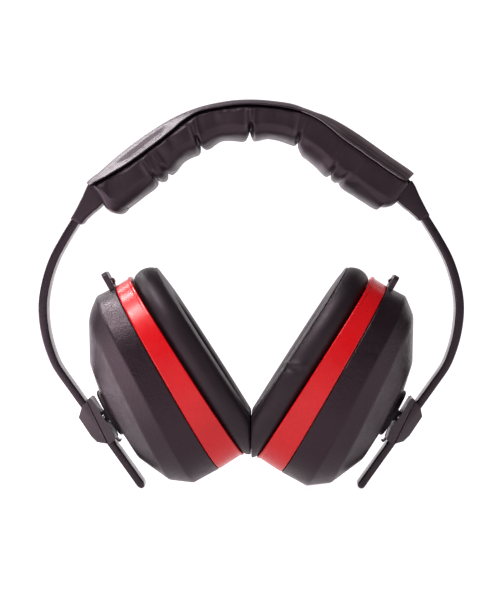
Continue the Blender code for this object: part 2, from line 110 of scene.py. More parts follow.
# ------------------------------------------------------------------ materials
class Nodes:
    """Small helper for building a material's nodes."""

    def __init__(self, name):
        self.mat = bpy.data.materials.new(name)
        self.mat.use_nodes = True
        self.tree = self.mat.node_tree
        self.shader = self.tree.nodes["Principled BSDF"]
        self.coord = self.new("ShaderNodeTexCoord")

    def new(self, kind, **props):
        n = self.tree.nodes.new(kind)
        for k, v in props.items():
            setattr(n, k, v)
        return n

    def link(self, a, b):
        self.tree.links.new(a, b)

    def noise(self, per_mm, detail=3.0, rough=0.5, stretch=None):
        n = self.new("ShaderNodeTexNoise")
        n.inputs["Scale"].default_value = per_mm * 1000
        n.inputs["Detail"].default_value = detail
        n.inputs["Roughness"].default_value = rough
        if stretch:
            m = self.new("ShaderNodeMapping")
            m.inputs["Scale"].default_value = stretch
            self.link(self.coord.outputs["Object"], m.inputs["Vector"])
            self.link(m.outputs["Vector"], n.inputs["Vector"])
        else:
            self.link(self.coord.outputs["Object"], n.inputs["Vector"])
        return n

    def voronoi(self, per_mm, feature="F1", randomness=1.0):
        v = self.new("ShaderNodeTexVoronoi", feature=feature)
        v.inputs["Scale"].default_value = per_mm * 1000
        v.inputs["Randomness"].default_value = randomness
        self.link(self.coord.outputs["Object"], v.inputs["Vector"])
        return v

    def ramp(self, source, stops):
        r = self.new("ShaderNodeValToRGB")
        el = r.color_ramp.elements
        while len(el) < len(stops):
            el.new(0.5)
        for e, (pos, col) in zip(el, stops):
            e.position = pos
            e.color = (*col, 1.0) if len(col) == 3 else col
        self.link(source, r.inputs["Fac"])
        return r

    def math(self, op, a, b=None, clamp=False):
        m = self.new("ShaderNodeMath", operation=op, use_clamp=clamp)
        for i, v in enumerate((a, b)):
            if v is None:
                continue
            if isinstance(v, (int, float)):
                m.inputs[i].default_value = v
            else:
                self.link(v, m.inputs[i])
        return m.outputs[0]

    def bump(self, height, strength, distance_mm, normal=None):
        b = self.new("ShaderNodeBump")
        b.inputs["Strength"].default_value = strength
        b.inputs["Distance"].default_value = distance_mm * MM
        self.link(height, b.inputs["Height"])
        if normal is not None:
            self.link(normal, b.inputs["Normal"])
        return b.outputs["Normal"]

    def range(self, source, lo, hi, from_lo=0.0, from_hi=1.0):
        m = self.new("ShaderNodeMapRange")
        m.inputs["From Min"].default_value = from_lo
        m.inputs["From Max"].default_value = from_hi
        m.inputs["To Min"].default_value = lo
        m.inputs["To Max"].default_value = hi
        self.link(source, m.inputs["Value"])
        return m.outputs["Result"]


def shade(col, k):
    return tuple(c * k for c in col)


def edge_wear(m, radius=0.0):
    """Lightened worn edges from the surface's own curvature."""
    g = m.new("ShaderNodeNewGeometry")
    return m.ramp(g.outputs["Pointiness"], [(0.52, (0, 0, 0)), (0.60, (1, 1, 1))]).outputs["Color"]


TINT = (1.0, 0.80, 0.90, 1.0)


def plastic(name, col, rough, grain_mm=0.35, grain=0.12, wear=0.25, spec=0.5, mottle=0.15, tint=TINT):
    m = Nodes(name)
    big = m.noise(0.045, 4.0, 0.6)
    small = m.noise(1.0 / grain_mm, 2.0, 0.6)
    base = m.ramp(big.outputs["Fac"], [(0.30, shade(col, 1 - mottle)), (0.70, shade(col, 1 + mottle))])
    mix = m.new("ShaderNodeMix", data_type="RGBA", blend_type="MIX")
    m.link(edge_wear(m), mix.inputs["Factor"])
    m.link(base.outputs["Color"], mix.inputs["A"])
    mix.inputs["B"].default_value = (*[min(1.0, c * (1 + wear * 2) + 0.02 * wear) for c in col], 1)
    m.link(mix.outputs["Result"], m.shader.inputs["Base Color"])
    m.link(m.range(m.noise(0.16, 5.0, 0.65).outputs["Fac"], rough - 0.07, rough + 0.09, 0.3, 0.7),
           m.shader.inputs["Roughness"])
    m.link(m.bump(small.outputs["Fac"], grain, 0.25), m.shader.inputs["Normal"])
    m.shader.inputs["Specular IOR Level"].default_value = spec
    m.shader.inputs["Specular Tint"].default_value = tint
    return m.mat


def vinyl(name, col, rough, sheen=0.15, pebble=0.18, spec=0.38):
    """Soft leathery vinyl: small cells with creases between them."""
    m = Nodes(name)
    big = m.noise(0.06, 4.0, 0.6)
    base = m.ramp(big.outputs["Fac"], [(0.30, shade(col, 0.84)), (0.72, shade(col, 1.18))])
    m.link(base.outputs["Color"], m.shader.inputs["Base Color"])
    m.link(m.range(m.noise(0.22, 4.0, 0.6).outputs["Fac"], rough - 0.03, rough + 0.05, 0.3, 0.7),
           m.shader.inputs["Roughness"])
    cells = m.voronoi(1.9, "DISTANCE_TO_EDGE")
    lines = m.ramp(cells.outputs["Distance"], [(0.0, (0, 0, 0)), (0.16, (1, 1, 1))])
    fine = m.noise(4.5, 2.0, 0.5)
    n1 = m.bump(lines.outputs["Color"], pebble, 0.10)
    n2 = m.bump(fine.outputs["Fac"], 0.10, 0.08, n1)
    m.link(n2, m.shader.inputs["Normal"])
    m.shader.inputs["Sheen Weight"].default_value = sheen
    m.shader.inputs["Sheen Roughness"].default_value = 0.45
    m.shader.inputs["Specular IOR Level"].default_value = spec
    m.shader.inputs["Specular Tint"].default_value = TINT
    return m.mat


def foam_mat(name, col):
    m = Nodes(name)
    pores = m.voronoi(1.3, "F1")
    dark = m.ramp(pores.outputs["Distance"], [(0.10, shade(col, 0.45)), (0.55, shade(col, 1.15))])
    m.link(dark.outputs["Color"], m.shader.inputs["Base Color"])
    m.link(m.bump(pores.outputs["Distance"], 0.7, 0.5), m.shader.inputs["Normal"])
    m.link(m.range(m.noise(0.2).outputs["Fac"], 0.88, 1.0), m.shader.inputs["Roughness"])
    m.shader.inputs["Specular IOR Level"].default_value = 0.2
    return m.mat


def steel_mat(name):
    m = Nodes(name)
    streak = m.noise(0.8, 3.0, 0.6, stretch=(1, 12, 1))
    base = m.ramp(streak.outputs["Fac"], [(0.3, (0.42, 0.42, 0.44)), (0.7, (0.66, 0.66, 0.68))])
    m.link(base.outputs["Color"], m.shader.inputs["Base Color"])
    m.link(m.range(streak.outputs["Fac"], 0.24, 0.42, 0.3, 0.7), m.shader.inputs["Roughness"])
    m.link(m.bump(streak.outputs["Fac"], 0.08, 0.05), m.shader.inputs["Normal"])
    m.shader.inputs["Metallic"].default_value = 1.0
    return m.mat


SHELL_COL = (0.0078, 0.0044, 0.0062)
MAT = {
    "shell": plastic("shell_plastic", SHELL_COL, 0.36, 0.80, 0.80, 0.6, 0.33, 0.15, (1.0, 0.72, 0.84, 1.0)),
    "red": plastic("trim_red", (0.485, 0.0038, 0.0066), 0.28, 0.6, 0.03, 0.0, 0.30, 0.04, (1, 1, 1, 1)),
    "band": plastic("band_plastic", (0.008, 0.0055, 0.007), 0.27, 0.45, 0.08, 0.4, 0.42),
    "slider": plastic("slider_plastic", (0.009, 0.006, 0.0075), 0.36, 0.5, 0.08, 0.8, 0.42),
    "hub": plastic("hub_plastic", (0.005, 0.0038, 0.0045), 0.5, 0.5, 0.05, 0.4, 0.16),
    "plate": plastic("plate_plastic", (0.010, 0.007, 0.009), 0.5, 0.4, 0.1),
    "vinyl": vinyl("pad_vinyl", (0.0125, 0.0075, 0.0105), 0.42, 0.0, 0.06, 0.30),
    "seal": vinyl("cushion_vinyl", (0.0092, 0.0058, 0.0077), 0.47, 0.0, 0.04, 0.30),
    # the seam bead's lighter colour is a painted highlight on real vinyl
    "seam_bead_highlight": vinyl("seam_bead_painted_highlight", (0.150, 0.118, 0.128), 0.40, 0.0, 0.04, 0.35),
    "foam": foam_mat("pad_foam", (0.10, 0.10, 0.11)),
    "liner": foam_mat("liner_foam", (0.055, 0.052, 0.058)),
    "steel": steel_mat("steel"),
}


# ------------------------------------------------------------------ mesh helpers
def make(name, bm, mat, body, nodes=(), sharp=None, side=None, unit=MM):
    """Turn a bmesh in millimetres into a finished piece on its body."""
    if side == "R":
        bmesh.ops.scale(bm, vec=(-1, 1, 1), verts=bm.verts)
    bmesh.ops.recalc_face_normals(bm, faces=bm.faces)
    if bm.calc_volume(signed=True) < 0:
        bmesh.ops.reverse_faces(bm, faces=bm.faces)
    bmesh.ops.scale(bm, vec=(unit, unit, unit), verts=bm.verts)
    me = bpy.data.meshes.new(name)
    bm.to_mesh(me)
    bm.free()
    return finish_piece(name, me, mat, body, nodes, sharp)


def finish_piece(name, me, mat, body, nodes=(), sharp=None):
    me.shade_smooth()
    if sharp:
        me.set_sharp_from_angle(angle=math.radians(sharp))
    me.materials.clear()
    me.materials.append(MAT[mat])
    ob = bpy.data.objects.new(name, me)
    scene.collection.objects.link(ob)
    if body:
        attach(ob, body)
        if nodes:
            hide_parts(*nodes)
    return ob


def grid_bm(rows, ring_u=True, ring_v=False, caps=(False, False)):
    """Quads through rows of points.  ring_u closes each row, ring_v joins last row to first."""
    bm = bmesh.new()
    vs = [[bm.verts.new(p) for p in row] for row in rows]
    n = len(vs[0])
    pairs = list(zip(vs, vs[1:]))
    if ring_v:
        pairs.append((vs[-1], vs[0]))
    for a, b in pairs:
        for i in range(n if ring_u else n - 1):
            j = (i + 1) % n
            bm.faces.new((a[i], a[j], b[j], b[i]))
    if caps[0]:
        bm.faces.new(vs[0])
    if caps[1]:
        bm.faces.new(list(reversed(vs[-1])))
    return bm


def fillet(pts, radii, steps=4, hold=0.35):
    """Round the corners of a 3-D polyline and keep holding points beside each."""
    out = [pts[0]]
    for k in range(1, len(pts) - 1):
        a, p, b = pts[k - 1], pts[k], pts[k + 1]
        r = radii[k]
        if r <= 0:
            out.append(p)
            continue
        da, db = (a - p), (b - p)
        ra, rb = min(r, da.length * 0.42), min(r, db.length * 0.42)
        pa, pb = p + da.normalized() * ra, p + db.normalized() * rb
        h = min(hold * r, 0.3 * ra)
        out.append(pa + da.normalized() * h)
        for i in range(steps + 1):
            f = i / steps
            out.append(pa * (1 - f) ** 2 + p * (2 * f * (1 - f)) + pb * f * f)
        out.append(pb + db.normalized() * min(hold * r, 0.3 * rb))
    out.append(pts[-1])
    return out


def oval_at(th, a_top, a_bot, half, sq, mid=0.0):
    """Point of a squared oval: (s, y) at angle th, with different reach up and down."""
    c, s = math.cos(th), math.sin(th)
    x = math.copysign(abs(c) ** (2 / sq), c)
    y = math.copysign(abs(s) ** (2 / sq), s)
    return mid + (a_top if x > 0 else a_bot) * x, half * y, x


def even_angles(n, a, b, sq):
    """Angles that space points evenly along a squared oval."""
    dense = 4000
    th = np.linspace(0, 2 * math.pi, dense + 1)
    c, s = np.cos(th), np.sin(th)
    x = a * np.sign(c) * np.abs(c) ** (2 / sq)
    y = b * np.sign(s) * np.abs(s) ** (2 / sq)
    d = np.concatenate([[0], np.cumsum(np.hypot(np.diff(x), np.diff(y)))])
    return [float(np.interp(d[-1] * i / n, d, th)) for i in range(n)]


def settle(p, side):
    """The lower end of the right cup reaches a little further down than the left one's."""
    if side == "L":
        return p
    along = Vector((-sb, 0, cb))
    s = (Vector(p) - Vector((SHELL_CENTRE[0], p[1], SHELL_CENTRE[1]))).dot(along)
    return Vector(p) - along * (1.7 * ease(-s, 14, 48))


# ------------------------------------------------------------------ cup shell
SHELL_N = 192
SHELL_SPECS = [  # (top s, top t), (bottom s, bottom t), half width, squareness
    ((50.5, 0.05), (-50.5, 0.05), 39.6, 2.6),
    ((50.9, 9.9), (-50.2, 13.7), 39.8, 2.6),
    ((44.9, 17.6), (-43.5, 23.0), 33.4, 2.7),
    ((25.1, 28.6), (-27.5, 30.8), 18.6, 2.6)]


def spec_point(spec, th):
    (s1, t1), (s0, t0), half, sq = spec
    mid, a = (s1 + s0) / 2, (s1 - s0) / 2
    c, s = math.cos(th), math.sin(th)
    x = math.copysign(abs(c) ** (2 / sq), c)
    y = math.copysign(abs(s) ** (2 / sq), s)
    return shell_pt(mid + a * x, t0 + (t1 - t0) * (x + 1) / 2, half * y)


def circle_pt(r, t, th):
    return shell_pt(SEAT_S + r * math.cos(th), t, r * math.sin(th))


def build_shell(side):
    angles = even_angles(SHELL_N, 50.5, 39.6, 2.6)
    cols = []
    for th in angles:
        o = [spec_point(sp, th) for sp in SHELL_SPECS]
        inward = (shell_pt(0, 0, 0) - o[0])
        inward = inward.normalized()
        pts = [shell_pt(0, 3.0, 0) + (o[0] - shell_pt(0, 0, 0)) * 0.945,
               shell_pt(0, 0, 0) + (o[0] - shell_pt(0, 0, 0)) * 0.95,
               o[0], o[1], o[2], o[3], circle_pt(13.2, 31.55, th), circle_pt(12.7, 31.0, th), circle_pt(5.0, 31.0, th),
               circle_pt(5.0, 29.3, th), circle_pt(13.0, 29.0, th)]
        up = ease(math.cos(th), 0.35, 0.95) * (1.6 if side == "L" else 0.6)
        radii = [0, 0.3, 0.5, 0.70 + 0.25 * up, 0.90 + 2.1 * up, 1.2, 0.35, 0.2, 0.2, 0, 0]
        line = fillet(pts, radii, 4)
        inner = [spec_point(((44.4 - 20, 26.2), (-26.6, 28.4), 17.8, 2.6), th),
                 spec_point(((43.2, 15.6), (-41.8, 20.9), 31.7, 2.7), th),
                 spec_point(((48.5, 8.8), (-47.8, 12.6), 37.4, 2.6), th)]
        cols.append([settle(p, side) for p in line + inner])
    rows = list(zip(*cols))
    bm = grid_bm(rows, True, True)
    return make("cup_shell_fine_" + side, bm, "shell", "cup_" + side, ["cup_shell_" + side], None, side)


def build_strap_loop(side):
    """Moulded loop at the top of the shell, slotted for a crown strap."""
    outline = []
    half, s0, s1, r = 10.0, 48.6, (58.9 if side == "L" else 57.2), 2.4
    corners = [(s1 - r, half - r, 0), (s1 - r, -half + r, -90)]
    ring_out = [(s0, half)]
    for cs, cy, a0 in ((s1 - r, half - r, 90), (s1 - r, -half + r, 0)):
        for k in range(9):
            a = math.radians(a0 - k * 90 / 8)
            ring_out.append((cs + r * math.cos(a), cy + r * math.sin(a)))
    ring_out.append((s0, -half))
    hole = []
    hr, h0, h1, hh = 1.2, 51.8, 54.9, 7.0
    for cs, cy, a0 in ((h0 + hr, hh - hr, 180), (h1 - hr, hh - hr, 90), (h1 - hr, -hh + hr, 0), (h0 + hr, -hh + hr, -90)):
        for k in range(6):
            a = math.radians(a0 - k * 90 / 5)
            hole.append((cs + hr * math.cos(a), cy + hr * math.sin(a)))
    bm = bmesh.new()
    t0, t1 = 0.02, 2.8

    def ring_verts(pts, t, grow=0.0):
        return [bm.verts.new(shell_pt(s, t, y)) for s, y in pts]

    def offset(pts, d):
        out = []
        n = len(pts)
        for i in range(n):
            a, b, c = Vector(pts[i - 1]), Vector(pts[i]), Vector(pts[(i + 1) % n])
            e = (c - a).normalized()
            out.append(tuple(b + Vector((e.y, -e.x)) * d))
        return out
    bev = 0.35
    o_in = offset(ring_out, bev)
    h_in = offset(hole, -bev) if True else hole
    area = sum(ring_out[i - 1][0] * ring_out[i][1] - ring_out[i][0] * ring_out[i - 1][1] for i in range(len(ring_out)))
    if area > 0:
        o_in = offset(ring_out, -bev)
    harea = sum(hole[i - 1][0] * hole[i][1] - hole[i][0] * hole[i - 1][1] for i in range(len(hole)))
    h_out = offset(hole, -bev if harea < 0 else bev)
    layers_o = [ring_verts(o_in, t0), ring_verts(ring_out, t0 + bev), ring_verts(ring_out, t1 - bev), ring_verts(o_in, t1)]
    layers_h = [ring_verts(h_out, t0), ring_verts(hole, t0 + bev), ring_verts(hole, t1 - bev), ring_verts(h_out, t1)]
    for layers in (layers_o, layers_h):
        n = len(layers[0])
        for a, b in zip(layers, layers[1:]):
            for i in range(n):
                j = (i + 1) % n
                bm.faces.new((a[i], a[j], b[j], b[i]))
    for k in (0, 3):
        edges = []
        for ring in (layers_o[k], layers_h[k]):
            for i in range(len(ring)):
                edges.append(bm.edges.get((ring[i], ring[(i + 1) % len(ring)])))
        bmesh.ops.triangle_fill(bm, use_beauty=True, edges=edges)
    ob = make("strap_loop_" + side, bm, "shell", "cup_" + side, (), 30, side)
    # rounded rib on the cushion side of the loop
    rows = []
    for k in range(25):
        y = -3.6 + 7.2 * k / 24
        fade = math.sqrt(max(0.0, 1 - (y / 3.6) ** 2)) ** 0.5
        rr = 0.2 + (0.95 if side == "L" else 0.6) * fade
        row = []
        for i in range(16):
            a = 2 * math.pi * i / 16
            row.append(shell_pt(53.6 + rr * 1.5 * math.cos(a) * 0.9, 0.1 - 0.55 + rr * 0.95 * math.sin(a) * 0.9, y))
        rows.append(row)
    make("strap_rib_" + side, grid_bm(rows, True, False, (True, True)), "band", "cup_" + side, (), 60, side)
    return ob


# ------------------------------------------------------------------ trim ring
def build_ring(side):
    angles = even_angles(SHELL_N, 50.5, 39.6, 2.6)
    cols = []
    for th in angles:
        def sh(a, h, t, sq=2.6, mid=0.0):
            s, y, _ = oval_at(th, a, a, h, sq, mid)
            return shell_pt(s, t, y)

        def cu(a, h, t, sq=2.6, mid=0.55):
            s, y, _ = oval_at(th, a, a, h, sq, mid)
            return cup_pt(s, t, y)
        lip = 0.5 * ease(abs(math.cos(th)), 0.55, 0.95)
        pts = [sh(47.6, 36.7, 3.2), sh(47.7, 36.8, -0.25), sh(50.1, 39.2, -0.25), sh(50.5, 39.6, -0.65),
               cu(50.35, 39.45, -7.4), cu(50.35 + lip, 39.45 + lip, -7.75), cu(50.3 + lip, 39.4 + lip, -8.8),
               cu(49.4, 38.5, -9.0), cu(47.8, 36.9, -9.0), cu(47.6, 36.7, -8.2), cu(41.0, 28.0, -8.8, 2.6, CUSHION_S),
               sh(45.9, 35.0, -0.3), sh(45.9, 35.0, 3.2)]
        radii = [0, 0.1, 0.3, 0.35, 0.3, 0.2, 0.3, 0.3, 0.2, 0.2, 0.3, 0.3, 0]
        cols.append([settle(p, side) for p in fillet(pts, radii, 3)])
    rows = list(zip(*cols))
    return make("trim_ring_fine_" + side, grid_bm(rows, True, True), "red", "cup_" + side,
                ["trim_ring_" + side], None, side)


# ------------------------------------------------------------------ cloth
def inflate(ob, pin, pressure=4.0, frames=18, cap=0.003, shrink=0.0, stiffness=12.0, bend=0.4, even=None):
    """Blow a closed vinyl skin up from inside, holding its seams, and keep the result."""
    start = np.array([v.co[:] for v in ob.data.vertices])
    group = ob.vertex_groups.new(name="pin")
    for i, w in pin.items():
        group.add([i], w, "REPLACE")
    mod = ob.modifiers.new("cloth", "CLOTH")
    st = mod.settings
    st.quality = 5
    st.mass = 0.25
    st.tension_stiffness = st.compression_stiffness = stiffness
    st.shear_stiffness = stiffness * 0.4
    st.bending_stiffness = bend
    st.use_pressure = True
    st.uniform_pressure_force = pressure
    st.vertex_group_mass = "pin"
    st.pin_stiffness = 1.0
    st.shrink_min = shrink
    st.effector_weights.gravity = 0.0
    mod.collision_settings.use_collision = False
    mod.collision_settings.use_self_collision = False
    mod.point_cache.frame_start = 1
    mod.point_cache.frame_end = frames
    for f in range(1, frames + 1):
        scene.frame_set(f)
    dg = bpy.context.evaluated_depsgraph_get()
    me = bpy.data.meshes.new_from_object(ob.evaluated_get(dg))
    moved = np.array([v.co[:] for v in me.vertices])
    ob.modifiers.remove(mod)
    ob.vertex_groups.clear()
    scene.frame_set(1)
    if moved.shape != start.shape or not np.isfinite(moved).all():
        return
    d = moved - start
    length = np.linalg.norm(d, axis=1, keepdims=True)
    soft = cap * np.tanh(length / cap)
    d = d * np.where(length > 1e-9, soft / np.maximum(length, 1e-9), 0)
    if even:
        g = d.reshape(even[0], even[1], 3)
        for _ in range(even[2]):
            up = np.concatenate([g[:1], g[:-1]])
            down = np.concatenate([g[1:], g[-1:]])
            g = (2 * g + up + down + np.roll(g, 1, axis=1) + np.roll(g, -1, axis=1)) / 6
        d = g.reshape(-1, 3)
    ob.data.vertices.foreach_set("co", (start + d).astype(np.float32).ravel())
    ob.data.update()


# ------------------------------------------------------------------ ear cushion
CUSHION_PROFILE = [  # (t, reach) round the cushion's section, from the back outer edge over the face to the inner back
    (-9.15, 46.0), (-9.2, 48.2), (-9.9, 49.7), (-12.0, 51.0), (-15.2, 51.5), (-18.2, 50.8), (-20.1, 49.7), (-21.1, 48.8),
    (-21.6, 47.8), (-21.8, 46.5), (-22.2, 43.8), (-22.4, 40.8), (-22.4, 38.0), (-22.1, 35.2), (-21.6, 32.9), (-20.0, 31.2), (-17.5, 30.6),
    (-14.0, 30.5), (-11.3, 30.6)]


def smooth_profile(points, n):
    """Evenly spaced points on a smooth curve through the given ones."""
    pts = [Vector(p) for p in points]
    dense = []
    for i in range(len(pts) - 1):
        p0 = pts[max(i - 1, 0)]
        p1, p2 = pts[i], pts[i + 1]
        p3 = pts[min(i + 2, len(pts) - 1)]
        for k in range(20):
            t = k / 20
            dense.append(0.5 * ((2 * p1) + (p2 - p0) * t + (2 * p0 - 5 * p1 + 4 * p2 - p3) * t * t
                                + (3 * p1 - p0 - 3 * p2 + p3) * t**3))
    dense.append(pts[-1])
    d = [0.0]
    for a, b in zip(dense, dense[1:]):
        d.append(d[-1] + (b - a).length)
    return [Vector((float(np.interp(d[-1] * i / (n - 1), d, [q.x for q in dense])),
                    float(np.interp(d[-1] * i / (n - 1), d, [q.y for q in dense])))) for i in range(n)]


def build_cushion(side):
    n_u, n_v = 180, 46
    prof = smooth_profile(CUSHION_PROFILE, n_v)
    angles = even_angles(n_u, 45.0, 32.0, 2.6)
    rows = []
    for j, q in enumerate(prof):
        row = []
        for th in angles:
            s, y, _ = oval_at(th, q.y + 0.9, q.y, q.y - 13.2, 2.6, CUSHION_S)
            row.append(cup_pt(s, q.x, y))
        rows.append(row)
    # close the back with an inner wall so that the skin is one closed body
    back = []
    for t, a in ((-12.3, 31.8), (-12.3, 43.5), (-10.6, 45.0)):
        back.append([cup_pt(*(lambda o: (o[0], t, o[1]))(oval_at(th, a, a, a - 13.2, 2.6, CUSHION_S))) for th in angles])
    bm = grid_bm(rows + back, True, True)
    bmesh.ops.recalc_face_normals(bm, faces=bm.faces)
    if bm.calc_volume(signed=True) < 0:
        bmesh.ops.reverse_faces(bm, faces=bm.faces)
    bmesh.ops.scale(bm, vec=(MM, MM, MM), verts=bm.verts)
    me = bpy.data.meshes.new("work")
    bm.to_mesh(me)
    bm.free()
    work = bpy.data.objects.new("work", me)
    scene.collection.objects.link(work)
    pin = {}
    for j in range(n_v + 3):
        hold = 0.0
        if j < 3 or j >= n_v - 2:
            hold = 1.0
        for i in range(n_u):
            if hold:
                pin[j * n_u + i] = hold
    inflate(work, pin, 2.5, 16, 0.0011, 0.0)
    co = np.array([v.co[:] for v in me.vertices]) / MM
    rnd = random.Random(7 if side == "L" else 11)
    # small radial gathers near the inner rim, and where the vinyl turns over
    for j in range(n_v):
        f = j / (n_v - 1)
        rim = math.exp(-((f - 0.86) / 0.10) ** 2)
        turn = math.exp(-((f - 0.40) / 0.16) ** 2)
        for i, th in enumerate(angles):
            k = j * n_u + i
            w = (0.16 * rim * noise.noise(Vector((math.cos(th) * 11, math.sin(th) * 11, 3.1 if side == "L" else 8.7)))
                 + 0.10 * turn * noise.noise(Vector((math.cos(th) * 4, math.sin(th) * 4, f * 3 + (1.7 if side == "L" else 5.3)))))
            co[k] += np.array(cup_pt(0, -w, 0) - cup_pt(0, 0, 0))
    if side == "R":
        # a crease across the front of the right cushion, near its middle
        for j in range(n_v):
            f = j / (n_v - 1)
            for i, th in enumerate(angles):
                k = j * n_u + i
                p = co[k]
                rel = Vector((p[0] - CUP_CENTRE[0], 0, p[2] - CUP_CENTRE[1]))
                s = rel.dot(Vector((-sa, 0, ca)))
                t = rel.dot(Vector((-ca, 0, -sa)))
                if p[1] > -8 or f > 0.75:
                    continue
                line = -3.2 + (t + 13.4) * 0.465
                reach = ease(-t, 10.5, 15.0)
                near = (s - line)
                dip = -0.95 * math.exp(-(near / 0.75) ** 2) + 0.60 * math.exp(-((near - 1.9) / 1.5) ** 2) \
                    + 0.12 * math.exp(-((near + 2.0) / 1.5) ** 2)
                d = dip * reach
                # push along the local outward direction of the section
                out = Vector((0, -1, 0)) * (1 - ease(-t, 17, 22)) + (cup_pt(0, -1, 0) - cup_pt(0, 0, 0)) * ease(-t, 17, 22)
                co[k] += np.array(out) * d
    for k in range(len(co)):
        co[k] = settle(Vector(co[k]), side)
    # the two cushions press flat on each other at the centre plane
    for k in range(len(co)):
        x = co[k][0]
        over = x + 0.15
        if over > 0:
            co[k][0] = -0.15 - 0.02 * over
        elif over > -3.0:
            co[k][0] -= 0.0
    me.vertices.foreach_set("co", (co * MM).astype(np.float32).ravel())
    if side == "R":
        me.transform(Matrix.Scale(-1, 4, (1, 0, 0)))
        me.flip_normals()
    bpy.data.objects.remove(work)
    # welded bead where the side of the skin meets its face
    rows = []
    for th in even_angles(200, 48.6, 35.4, 2.6):
        s, y, _ = oval_at(th, 49.3, 48.4, 35.2, 2.6, CUSHION_S)
        c = settle(cup_pt(s, -21.35, y), side)
        c.x = min(c.x, -0.55)
        out = Vector((0, math.copysign(abs(math.sin(th)), y), 0)) + (cup_pt(math.cos(th), 0, 0) - cup_pt(0, 0, 0))
        out.normalize()
        ax = cup_pt(0, -1, 0) - cup_pt(0, 0, 0)
        rows.append([c + (out * math.cos(b) + ax * math.sin(b)) * 0.36 for b in [2 * math.pi * i / 8 for i in range(8)]])
    make("ear_cushion_welt_" + side, grid_bm(rows, True, True), "seal", "cup_" + side, (), 60, side)
    ob = finish_piece("ear_cushion_" + side, me, "seal", "cup_" + side,
                      ["ear_cushion_skin_" + side, "ear_cushion_foam_" + side])
    sub = ob.modifiers.new("smooth", "SUBSURF")
    sub.levels = sub.render_levels = 1
    return ob


# ------------------------------------------------------------------ headband
BAND_OUTER = [
    (0.0, 185.9), (-18.0, 184.0), (-33.0, 178.9), (-48.0, 170.6), (-60.0, 161.9), (-70.5, 153.0), (-77.2, 146.4),
    (-80.2, 140.2), (-83.7, 133.4), (-90.9, 121.6), (-96.4, 111.4), (-100.2, 100.0), (-102.0, 88.0), (-101.3, 77.6),
    (-100.0, 71.2), (-98.2, 65.4), (-95.75, 59.4)]
ARM_STRAIGHT_TOP, ARM_TIP, ARM_THICK = -8.0, 55.6, 3.65
BAND_SIDE_THICK, BAND_CROWN_THICK, BAND_WIDTH = 4.1, 2.4, 16.0


def band_curve():
    pts = [Vector(p) for p in BAND_OUTER]
    top = Vector((ARM_ORIGIN[0] + sc * ARM_STRAIGHT_TOP, ARM_ORIGIN[1] - cc * ARM_STRAIGHT_TOP))
    pts.append(top)
    tang = []
    for i, p in enumerate(pts):
        if i == 0:
            tang.append(Vector((-1.0, 0.0)))
        elif i == len(pts) - 1:
            tang.append(Vector((sc, -cc)))
        else:
            before, after = p - pts[i - 1], pts[i + 1] - p
            tang.append((before.normalized() * after.length + after.normalized() * before.length).normalized())
    dense = []
    for i in range(len(pts) - 1):
        span = (pts[i + 1] - pts[i]).length
        m0, m1 = tang[i] * span, tang[i + 1] * span
        for k in range(24):
            h = k / 24
            dense.append(pts[i] * (2 * h**3 - 3 * h**2 + 1) + m0 * (h**3 - 2 * h**2 + h)
                         + pts[i + 1] * (3 * h**2 - 2 * h**3) + m1 * (h**3 - h**2))
    dense.append(top)
    return dense


DENSE = band_curve()
LENGTHS = [0.0]
for _a, _b in zip(DENSE, DENSE[1:]):
    LENGTHS.append(LENGTHS[-1] + (_b - _a).length)
CURVE_LENGTH = LENGTHS[-1]
_LX = [p.x for p in DENSE]
_LZ = [p.y for p in DENSE]


def band_at(sigma):
    side = -1.0 if sigma < 0 else 1.0
    s = abs(sigma)
    if s >= CURVE_LENGTH:
        p = DENSE[-1] + Vector((sc, -cc)) * (s - CURVE_LENGTH)
        t = Vector((sc, -cc))
    else:
        p = Vector((float(np.interp(s, LENGTHS, _LX)), float(np.interp(s, LENGTHS, _LZ))))
        e = 1.2
        lo, hi = max(s - e, 0.0), min(s + e, CURVE_LENGTH)
        t = Vector((float(np.interp(hi, LENGTHS, _LX) - np.interp(lo, LENGTHS, _LX)),
                    float(np.interp(hi, LENGTHS, _LZ) - np.interp(lo, LENGTHS, _LZ)))).normalized()
        if s < 0.3:
            t = Vector((-1.0, 0.0))
    return Vector((side * abs(p.x), p.y)), Vector((side * t.y, t.x))


def band_pt(sigma, depth, y):
    p, n = band_at(sigma)
    return Vector((p.x + n.x * depth, y, p.y + n.y * depth))


def band_thick(sigma):
    s = abs(sigma)
    grow = BAND_CROWN_THICK + (BAND_SIDE_THICK - BAND_CROWN_THICK) * ease((s - 25.0) / 35.0)
    return grow + (ARM_THICK - BAND_SIDE_THICK) * ease((s - CURVE_LENGTH + 35.0) / 30.0)


def sigma_where(test):
    for s, p in zip(LENGTHS, DENSE):
        if test(p):
            return s
    return CURVE_LENGTH


PAD_END = sigma_where(lambda p: p.x < -76.6)
TONGUE_END = sigma_where(lambda p: p.y < 131.5)


def rounded_rect(d0, d1, half, r, per=4):
    """(depth, y) points of a rounded rectangle section."""
    out = []
    for cd, cy, a0 in ((d0 + r, half - r, 180), (d1 - r, half - r, 90), (d1 - r, -half + r, 0), (d0 + r, -half + r, -90)):
        for k in range(per + 1):
            a = math.radians(a0 - 90 * k / per)
            out.append((cd + r * math.cos(a), cy + r * math.sin(a)))
    return out


